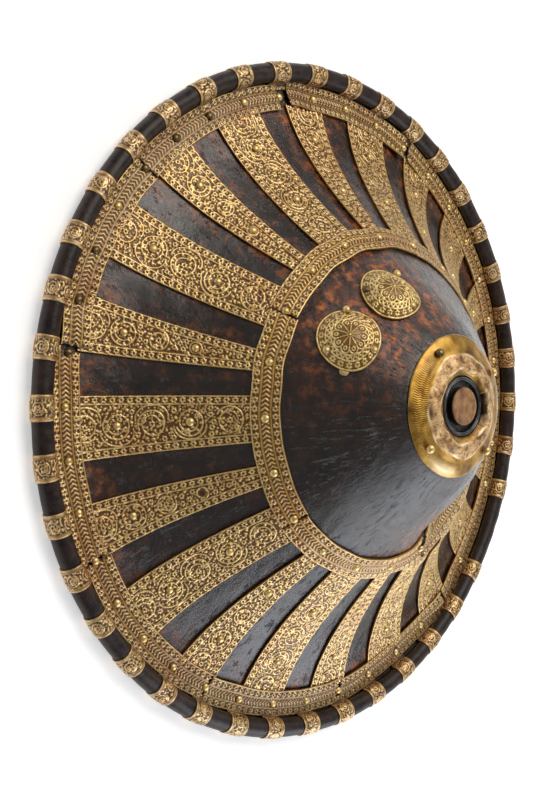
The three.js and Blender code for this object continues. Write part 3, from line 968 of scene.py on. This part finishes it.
def band_sheet(name, index, joints, ends, radii_range, nail_angles, hole, darkening, brass, seed):
    """The length of band from one joint to the next. ends is as BAND_ENDS."""
    after = (index + 1) % len(joints)
    start = joints[index] + ends[index][0] / 2
    end = joints[after] + (360 if after == 0 else 0) - ends[after][0] / 2
    radii, slant = slant_steps(*radii_range, BAND_PITCH)
    half = slant[-1] / 2
    middle = sum(radii_range) / 2
    length = math.radians(end - start) * middle
    nails = [math.radians((a - start) % 360) * middle for a in nail_angles]
    nails = [at for at in nails if at < length]
    canvas = Canvas(-half, half, length)
    draw_band(canvas, half, length, nails)

    angle = np.linspace(start, end, round(length / BAND_PITCH) + 1)[None, :]
    angle, r, x = np.broadcast_arrays(angle, radii[:, None], slant[:, None] - half)
    y = np.radians(angle - start) * middle
    relief, grime_and_shade = canvas.read(x, y)

    # The ends are lifted, shifted and torn.
    first, last = ends[index][2], ends[after][1]
    reach = BEND_REACH / middle
    at_start = np.exp(-((angle - start) / reach) ** 2)
    at_end = np.exp(-((end - angle) / reach) ** 2)
    lifted, moved = (first[k] * at_start + last[k] * at_end for k in (0, 1))
    lifted = lifted * (1 + 0.5 * np.sin(3 * x / half + seed))
    if joints[index] == BULGE_FROM:
        moved = moved - 2.3 * near(angle, 118, 9)
    bent = first[0] * (angle < start + reach) + last[0] * (angle > end - reach)
    torn = (0.25 + 0.22 * bent) * waves(x[..., None], 2.6, seed + 9)
    away = np.exp(-((angle - start) / 0.5) ** 2) + np.exp(-((end - angle) / 0.5) ** 2)
    angle = angle + torn * away * 60 / middle

    grime_and_shade = np.maximum(grime_and_shade, darkening(angle))
    lift = BAND_TOP + 0.18 * waves(np.stack([y, x], -1), 16, seed)
    for at in nails:
        lift, grime_and_shade = seat_nail(lift, grime_and_shade, np.hypot(x, y - at), 0.35)
    rho = np.hypot(np.radians(angle - hole[0]) * r, r - hole[1])
    grime_and_shade = np.maximum(grime_and_shade, raised(rho, HOLE_R))
    lift = lift + 0.5 * raised(np.abs(rho - HOLE_R - 0.4), 0.3) - 0.5 * raised(rho, HOLE_R)
    # Where no strips are under it, the band lies on the hide.
    lifted = lifted - 0.65 * (smooth(229, 236, r) + smooth(124, 117, r))
    r = r + 0.3 * waves(y[..., None], 22, seed + 70) + moved
    sheet(f"{name}_embossed", on_hide(angle, r, lift + lifted + RELIEF * relief),
          on_hide(angle, r, BAND_UNDER + lifted), brass, "brass", replaces=[name],
          fields={"relief": relief, "grime_and_shade": grime_and_shade})


def clip_angles():
    """Number and angle of every clip that is still there."""
    places = []
    for i in range(CLIP_COUNT):
        even = i * 360 / CLIP_COUNT
        drift = CLIP_DRIFT * math.cos(math.radians(even - CLIP_DRIFT_AT))
        if i != LOST_CLIP:
            places.append((i, even + CLIP_START + drift))
    return places


band_nails = [(i, angle) for i, angle in clip_angles() if i != LOST_BAND_NAIL]
ring_angles = [angle for angle in STRIP_ANGLES if angle != LOST_RING_NAIL]

for i in range(len(BAND_JOINTS)):
    band_sheet(f"outer_band_{i + 1:02d}", i, BAND_JOINTS, BAND_ENDS, BAND_R,
               [angle for _, angle in band_nails], BAND_HOLE, outer_darkening, BAND_BRASS, 200 + i)
for i in range(len(RING_JOINTS)):
    band_sheet(f"inner_band_{i + 1}", i, RING_JOINTS, RING_ENDS, RING_R,
               ring_angles, RING_HOLE, inner_darkening, RING_BRASS, 300 + i)

# --- Clips ---

TONGUE_R = 238.8  # where a clip's tongue ends under the band
CLIP_FOOT_R = 243.0  # where it ends under the roll
CLIP_THICKNESS = 0.95


def clip_path():
    """Section of a clip's outer face, from under the band round the roll to under the brim."""
    tongue_z = float(hide_height(240.0)) + 1.3
    top_turn = math.pi - math.asin((tongue_z - CLIP_R) / CLIP_R)
    turn = np.linspace(top_turn, -math.pi / 2, 60)
    arc = ROLL_CENTRE + polar(CLIP_R, turn)
    return resample(np.concatenate([[[TONGUE_R, tongue_z]], arc, [[CLIP_FOOT_R, 0.0]]]), CLIP_PITCH)


def draw_clip(canvas, half, random):
    edge = half - np.abs(canvas.x)[None, :]
    canvas.line_across(edge - 0.5, 0.5)
    canvas.line_across(edge - 2.2, 0.45)
    centre = 14 + random.uniform(-2, 2)
    for k in range(-1, 3):
        y = centre + 12.5 * k
        scroll(canvas, random, 0, y, 4.6, 1, random.uniform(0, 6))
        canvas.flower(0, y, random.uniform(0, 1), 0.95)

    def inside(x, y, reach):
        return abs(x) < half - 2.7 - 0.7 * reach

    fill_with_leaves(canvas, random, inside, 3, 500)


def make_clip(number, angle):
    random = np.random.default_rng(500 + number)
    path = clip_path()
    direction = np.gradient(path, axis=0)
    direction /= np.linalg.norm(direction, axis=1)[:, None]
    outward = np.stack([-direction[:, 1], direction[:, 0]], -1)
    along = np.concatenate([[0], np.cumsum(np.hypot(*np.diff(path, axis=0).T))])
    width = CLIP_WIDTH * random.uniform(0.94, 1.05)
    skew = random.uniform(-0.035, 0.035)
    canvas = Canvas(-width / 2, width / 2, along[-1])
    draw_clip(canvas, width / 2, random)

    x = np.linspace(0.5, -0.5, round(width / CLIP_PITCH) + 1)[None, :] * width
    x, y = np.broadcast_arrays(x, along[:, None])
    relief, grime_and_shade = canvas.read(x, y)
    height = RELIEF * (relief - 1) + 0.12 * waves(np.stack([x, y], -1), 7, 60 + number)

    def place(offset):
        section = path[:, None, :] + outward[:, None, :] * offset[..., None]
        turn = angle + np.degrees((x + skew * (y - 20)) / RIM_R)
        return turned(turn, section[..., 0], section[..., 1])

    sheet(f"rim_clip_{number + 1:02d}", place(np.minimum(height, 0)),
          place(np.full_like(height, -CLIP_THICKNESS)), CLIP_BRASS, "brass", every=6,
          fields={"relief": relief, "grime_and_shade": grime_and_shade})


for number, angle in clip_angles():
    make_clip(number, angle)

# --- Roundels ---

ROUNDEL_LINES = ((21.7, 0.45), (16.3, 0.42), (12.9, 0.42))  # radius and half width
ARCHES = 10
TEETH = 26
BLOOMS = 20


def draw_roundel(canvas):
    """Rays round a dot, arches over flowers, a zigzag and a row of flowers."""
    rho = np.hypot(canvas.x[None, :], canvas.y[:, None])
    for radius, half in ROUNDEL_LINES:
        canvas.line_across(rho - radius, half)
    canvas.stamp(0, 0, 1.6, lambda x, y: raised(np.hypot(x, y), 0.8))
    for i in range(ARCHES):
        a = 2 * math.pi * i / ARCHES
        b = a + math.pi / ARCHES
        ray = np.array([math.cos(b), math.sin(b)])
        canvas.stroke([ray * 1.8, ray * 6.8], 0.36, 0.5)
        middle = 9.3 * np.array([math.cos(a), math.sin(a)])
        turn = np.linspace(-2.1, 2.1, 16) + a
        canvas.stroke(middle + 2.95 * polar(1, turn), 0.44)
        canvas.flower(*middle, a, 0.72)
    turn = np.linspace(0, 2 * math.pi, 2 * TEETH + 1)
    reach = np.where(np.arange(2 * TEETH + 1) % 2, 13.3, 15.9)
    canvas.stroke(polar(reach, turn), 0.44)
    for i in range(BLOOMS):
        a = 2 * math.pi * i / BLOOMS
        canvas.flower(18.9 * math.cos(a), 18.9 * math.sin(a), a, 0.92)


def make_roundel(name, centre, radius, nails, seed):
    """A domed disc built of rings and bent with the hide under it."""
    canvas = Canvas(-ROUNDEL_R, ROUNDEL_R, ROUNDEL_R, -ROUNDEL_R)
    draw_roundel(canvas)
    rings, columns = 46, 170
    rho = np.linspace(0, 1, rings + 1)[1:]
    theta = np.linspace(0, 2 * math.pi, columns, endpoint=False)
    rho, theta = np.meshgrid(rho, theta, indexing="ij")
    x = np.concatenate([(ROUNDEL_R * rho * np.cos(theta)).reshape(-1), [0]])
    y = np.concatenate([(ROUNDEL_R * rho * np.sin(theta)).reshape(-1), [0]])
    relief, grime_and_shade = canvas.read(x, y)
    grime_and_shade = 0.75 * grime_and_shade
    tilt = float(hide_tilt(radius))
    size = np.clip(np.hypot(x, y) / ROUNDEL_R / 0.95, 0, 1)
    lift = 1.0 + (ROUNDEL_H - 1.0) * np.cos(size * math.pi / 2) ** 0.9
    lift = lift + 0.15 * waves(np.stack([x, y], -1), 9, seed) + RELIEF * relief
    for angle, r in nails:
        u = math.radians(angle - centre) * (radius + r) / 2
        v = (radius - r) / math.cos(tilt)
        lift, grime_and_shade = seat_nail(lift, grime_and_shade, np.hypot(x - u, y - v), 0.5, 3.5, 0.8)

    def place(x, y, lift):
        r = radius - y * math.cos(tilt)
        return on_hide(centre + np.degrees(x / r), r, lift)

    edge = slice((rings - 1) * columns, rings * columns)
    under = place(x[edge], y[edge], np.zeros(columns))
    bottom = place(np.zeros(1), np.zeros(1), np.full(1, 0.05))
    index = np.arange(rings * columns).reshape(rings, columns)
    index = np.concatenate([index, index[:, :1]], 1)
    low = rings * columns + 1 + np.arange(columns + 1) % columns
    faces = [
        np.stack([index[:-1, :-1], index[1:, :-1], index[1:, 1:], index[:-1, 1:]], -1)
        .reshape(-1, 4)[:, ::-1],
        fan(rings * columns, index[0]),
        np.stack([index[-1, :-1], low[:-1], low[1:], index[-1, 1:]], -1)[:, ::-1],
        fan(low.max() + 1, low[::-1]),
    ]
    make_piece(f"{name}_embossed", np.concatenate([place(x, y, lift), under, bottom]), faces,
               ROUNDEL_BRASS, "brass", replaces=[name], fields={"relief": relief, "grime_and_shade": grime_and_shade},
               flat_from=len(faces[0]) + columns)


# --- Nails ---


def fixed_number(name):
    """A number from a name, the same in every run."""
    total = 0
    for letter in name:
        total = (total * 31 + ord(letter)) % 1000003
    return total


NAIL_EDGE = 0.15  # height of a head's edge over its seat
NAIL_SUNK = 0.7  # how far the head goes on below the seat


def make_nail(name, angle, r, lift, radius=NAIL_R, height=2.3, material=NAIL_BRASS):
    """A domed head on the sheet under it, a little tilted as if driven by hand."""
    random = np.random.default_rng(fixed_number(name))
    centre = on_hide(angle, r, lift)
    tilt = float(hide_tilt(r)) + random.uniform(-0.08, 0.08)
    a = math.radians(angle + random.uniform(-3, 3))
    normal = Vector((math.sin(tilt) * math.sin(a), -math.sin(tilt) * math.cos(a), math.cos(tilt)))
    spin = np.array(Vector((0, 0, 1)).rotation_difference(normal).to_matrix().transposed())
    radius *= random.uniform(0.93, 1.07)
    turn = np.linspace(0, math.pi / 2, 8)[:-1]
    dome = polar(1, turn) * (radius, height) + (0, NAIL_EDGE)
    outline = np.concatenate([
        [[0, -NAIL_SUNK], [radius * 0.97, -NAIL_SUNK]], dome, [[0, NAIL_EDGE + height]],
    ])
    lathe(name, outline, 20, material, "brass", place=lambda points: points @ spin + centre)


# Heights over the hide that the heads sit at.
STRIP_SEAT = 0.95
RING_SEAT = 1.35
BAND_SEAT = 1.25

for i, angle in enumerate(STRIP_ANGLES):
    make_nail(f"strip_nail_{i + 1:02d}_outer", angle, STRIP_NAIL_R[0], STRIP_SEAT)
    if i != LOST_STRIP_NAIL:
        make_nail(f"strip_nail_{i + 1:02d}_inner", angle, STRIP_NAIL_R[1], STRIP_SEAT)
for i, angle in enumerate(ring_angles):
    make_nail(f"ring_nail_{i + 1:02d}", angle, RING_NAIL_R, RING_SEAT)
for i, angle in band_nails:
    dull = DULL_NAILS[0] < angle % 360 < DULL_NAILS[1] and i % 5 != 1
    make_nail(f"band_nail_{i + 1:02d}", angle, BAND_NAIL_R, BAND_SEAT,
              material=DULL_BRASS if dull else NAIL_BRASS)

ROUNDEL_NAILS = {
    "roundel_a": ((284, 93.8), (292.2, 73.3), (304.7, 94.1)),
    "roundel_b": ((319, 95.2), (331.3, 73.8), (339, 95.9)),
}
for seed, (name, centre, radius) in enumerate(ROUNDELS):
    make_roundel(name, centre, radius, ROUNDEL_NAILS[name], 80 + seed)
    for number, (angle, r) in enumerate(ROUNDEL_NAILS[name]):
        dull = (name, number) == ("roundel_a", 2)
        make_nail(f"{name}_nail_{number + 1}", angle, r, 2.4,
                  material=DULL_BRASS if dull else NAIL_BRASS)

make_nail("roundel_b_tab", 345.5, 84.8, 0.15, 3.6, 0.6)

# --- Boss ---

# Sections, as radius and height.
BOSS_OUTLINE = [
    [50.2, 145.0], [50.5, 145.5], [49.9, 146.1], [46.0, 148.3], [42.5, 149.7], [39.8, 150.5],
    [37.0, 151.8], [33.4, 153.9], [30.4, 155.3], [28.2, 155.9], [26.6, 155.4], [24.5, 153.9],
    [22.6, 152.9], [21.4, 152.5], [21.3, 146.2], [34, 147.6], [42, 147.2], [50.2, 145.0],
]
COLLAR_OUTLINE = [
    [14.2, 147.0], [20.9, 147.0], [21.0, 152.0], [20.7, 152.7], [20.2, 152.9], [19.8, 152.6],
    [19.5, 152.2], [19.2, 152.4], [18.9, 152.7], [18.4, 152.6], [18.1, 152.0], [17.6, 149.8],
    [16.0, 148.4], [14.2, 147.8], [14.2, 147.0],
]
PLUG_OUTLINE = [
    [0, 147.0], [13.4, 147.0], [13.4, 153.9], [13.1, 154.6], [12.3, 155.0], [10.5, 155.2],
    [0, 155.4],
]
BOSS_NAILS = (42.8, 135, 215, 305.2)  # angles
BOSS_NAIL_R = 43.0
HATCH_PITCH = 1.5  # of the engraved zigzags, at the radius of 42 mm
POCKET = (148, 203)  # angles between which the ridge is undercut


def pocket_depth(angle, r):
    """1 in the deep hollow between the collar and the far side of the ridge."""
    opens = smooth(POCKET[0] - 2, POCKET[0] + 4, angle)
    closes = smooth(POCKET[1] + 2, POCKET[1] - 2, angle)
    return opens * closes * smooth(26.6, 25.4, r)


def hammered(angle, points):
    """Dents along the ridge, a wavering crest, and the hollow beside the collar."""
    angle = np.broadcast_to(angle, points.shape[:-1])
    r = np.hypot(points[..., 0], points[..., 1])
    upper = smooth(150.5, 152.0, points[..., 2] + 0.25 * (r - 21)) * smooth(21.0, 22.2, r)
    ridge = smooth(39, 34, r) * smooth(23, 26, r) * upper
    dents = 0.40 * waves(points, 5.5, 21) + 0.10 * waves(points, 2.2, 22) - 0.30
    a = np.radians(angle)
    waver = 0.9 * np.sin(5 * a + 1) + 0.6 * np.sin(9 * a + 2) + 0.5 * np.sin(14 * a)
    out = points.copy()
    out[..., 2] += ridge * dents + upper * smooth(34, 42, r) * 0.3 * waves(points, 13, 23)
    out[..., 2] -= pocket_depth(angle, r) * smooth(147, 151, points[..., 2]) * 5.2
    shift = ridge * waver / np.maximum(r, 1)
    out[..., 0] *= 1 + shift
    out[..., 1] *= 1 + shift
    return out


boss = lathe("boss_plate_hammered", resample(BOSS_OUTLINE, 0.85)[:-1], 280, BOSS_BRASS, "brass",
             bump=hammered, replaces=["boss_plate"])
points, r, angle = points_of(boss)
turn = np.radians(angle)
crest = 26.4 + 0.7 * np.sin(5 * turn + 1) + 0.5 * np.sin(9 * turn + 2)
foot = 36.2 + 0.9 * np.sin(4 * turn + 0.5) + 0.7 * np.sin(7 * turn + 2)
# Painted highlight lines along the ridge's crest and foot, and a painted highlight patch on the
# flange at about 72 degrees.
painted_highlight = np.maximum(raised(np.abs(r - crest), 0.8), raised(np.abs(r - foot), 0.6))
painted_highlight = painted_highlight * smooth(-0.9, 0.6, waves(points, 7, 31))
flange_highlight = near(angle, 72, 16) * near(r, 46, 3.4)
well = smooth(23.6, 22.0, r)
zigzag = np.abs(r / 5 - np.round(r / 5)) * 2
flange = smooth(36, 38, r) * smooth(49, 46, r)
for key, values in {
    "relief": smooth(foot + 1.2, foot - 0.6, r) * smooth(crest - 2.5, crest, r),
    "painted_highlight": np.clip(painted_highlight + 0.75 * flange_highlight, 0, 1),
    # Painted shade in the undercut pocket and in the well by the collar.
    "grime_and_shade": np.clip(0.9 * pocket_depth(angle % 360, r) + 0.75 * well, 0, 1),
    "hatch": turn * 42 / HATCH_PITCH + 0.5 * zigzag,
    "engraved": smooth(62, 44, np.abs(angle - 4)) * flange,
}.items():
    add_field(boss.data, key, values)

collar = lathe("boss_collar_ring", resample(COLLAR_OUTLINE, 1.0)[:-1], 120, (BLACK, DARK_METAL),
               "black_metal", replaces=["boss_collar"])
# The collar's two edge crests take the lighter grey: painted highlight lines.
use_second_material(collar, lambda r, z: z > 152.35 and (r > 19.9 or 18.5 < r < 19.2))
plug = lathe("boss_plug_wood", resample(PLUG_OUTLINE, 1.2), 96, (WOOD, BLACK), "wood",
             replaces=["boss_plug"])
# The plug's side wall and underside take the black: painted shade down its side in the collar's
# well.
use_second_material(plug, lambda r, z: z < 154.2)
for number, angle in enumerate(BOSS_NAILS):
    make_nail(f"boss_nail_{number + 1}", angle, BOSS_NAIL_R, 2.0, 3.1, 2.4,
              material=DULL_BRASS if number == 3 else NAIL_BRASS)

# --- Hand strap ---

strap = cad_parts["hand_strap"]
strap.data.materials.clear()
strap.data.materials.append(STRAP)

# --- Stage ---

FLOOR_HALF = 6.0  # m
LAMPS_AIM_AT = Vector((0, 0, 0.06))


def make_floor():
    material, tree = new_material("floor")
    set_inputs(tree, tree.nodes["Principled BSDF"], {
        "Base Color": (0.85, 0.85, 0.85),
        "Roughness": 1.0,
        "Specular IOR Level": 0.0,
        "Emission Color": WHITE,
        "Emission Strength": 0.46,
    })
    mesh = bpy.data.meshes.new("floor")
    corners = [(-1, -1), (1, -1), (1, 1), (-1, 1)]
    mesh.from_pydata([(x * FLOOR_HALF, y * FLOOR_HALF, 0) for x, y in corners], [], [(0, 1, 2, 3)])
    mesh.materials.append(material)
    add_object("floor", mesh)


def add_light(name, place, size, power, colour):
    lamp = bpy.data.lights.new(name, "AREA")
    lamp.shape = "RECTANGLE"
    lamp.size, lamp.size_y = size
    lamp.energy = power
    lamp.color = colour
    obj = add_object(name, lamp)
    obj.location = place
    obj.rotation_euler = (LAMPS_AIM_AT - Vector(place)).to_track_quat("-Z", "Y").to_euler()


make_floor()
add_light("key_right", (1.5, 0.8, 0.78), (1.4, 1.2), 18.5, (0.88, 0.92, 1.0))
add_light("back_soft", (0.1, 2.0, 0.9), (1.6, 0.8), 5, (1.0, 0.97, 0.92))
add_light("fill_left", (-1.1, 0.2, 1.6), (1.3, 1.1), 20.5, (1.0, 0.955, 0.90))

world = bpy.data.worlds.new("studio")
bpy.context.scene.world = world
world.use_nodes = True
background = world.node_tree.nodes["Background"]
set_inputs(world.node_tree, background, {"Color": WHITE, "Strength": 0.27})
bpy.context.scene.view_settings.view_transform = "Standard"

# The camera looks down on the lying shield from the -Y side. It is rolled by a quarter turn, so
# that the shield's axis runs to the right in the frame.
CAMERA_PLACE = (0.0006, -2.7757, 2.7322)  # in rim radii
CAMERA_PITCH = math.radians(43.68)  # from the shield's axis
CAMERA_ROLL = math.radians(-1.92)
camera_data = bpy.data.cameras.new("camera")
camera_data.lens = 58.11
camera_data.sensor_width = 36
camera_data.sensor_fit = "AUTO"
camera = add_object("camera", camera_data)
back = Vector((0, -math.sin(CAMERA_PITCH), math.cos(CAMERA_PITCH)))
right = Vector((math.sin(CAMERA_ROLL), math.cos(CAMERA_PITCH) * math.cos(CAMERA_ROLL),
                math.sin(CAMERA_PITCH) * math.cos(CAMERA_ROLL)))
up = back.cross(right)
rotation = Matrix((right, up, back)).transposed()
camera.matrix_world = Matrix.Translation(Vector(CAMERA_PLACE) * RIM_R * MM) @ rotation.to_4x4()
bpy.context.scene.camera = camera
